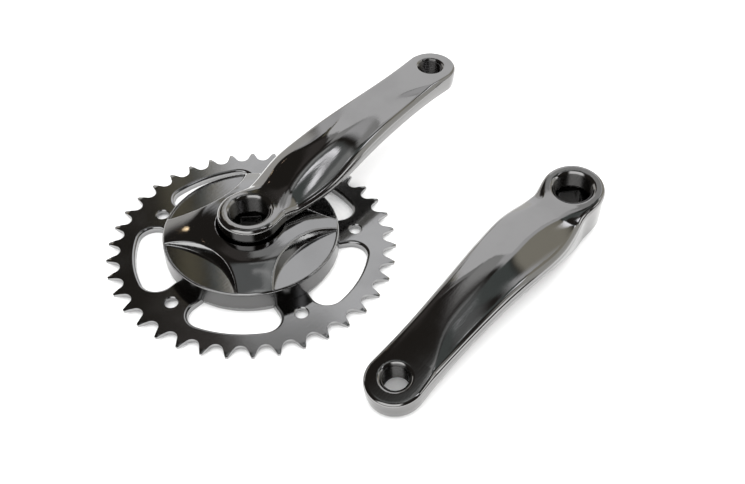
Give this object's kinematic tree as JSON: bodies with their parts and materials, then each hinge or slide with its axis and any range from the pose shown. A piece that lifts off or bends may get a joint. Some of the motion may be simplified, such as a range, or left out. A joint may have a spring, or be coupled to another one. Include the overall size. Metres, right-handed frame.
{
  "type": "bicycle crankset",
  "caption": "Single-ring square-taper crankset: polished drive arm with pressed steel chainring and domed hub cover, and a loose left arm lying beside it.",
  "frame": {"origin": "on the crank axis, in the middle of the chainring's teeth, at the centre of the chain guard hole circle", "axes": "+Z outboard along the crank axis, up as the set lies; +X along the drive arm towards its pedal hole"},
  "size_m": [0.2565, 0.2234, 0.041],
  "materials": {
    "polished_arm": "mirror polished, dark nickel tone",
    "ring_plate": "mirror plated, dark nickel tone",
    "cover_plate": "mirror plated, dark nickel tone",
    "plain_steel": "zinc plated, satin"
  },
  "bodies": {
    "drive_side": {"drive_arm": "polished_arm", "chainring": "ring_plate", "hub_cover": "cover_plate", "lock_collar": "plain_steel", "cover_screw_1": "plain_steel", "cover_screw_2": "plain_steel", "cover_screw_3": "plain_steel", "cover_screw_4": "plain_steel"},
    "left_arm": {"left_arm": "polished_arm"}
  },
  "joints": [
    {"name": "left_arm_lift", "type": "slide", "parent": "drive_side", "child": "left_arm", "axis": [0, 0, 1], "range_m": [0, 0.1]}
  ]
}
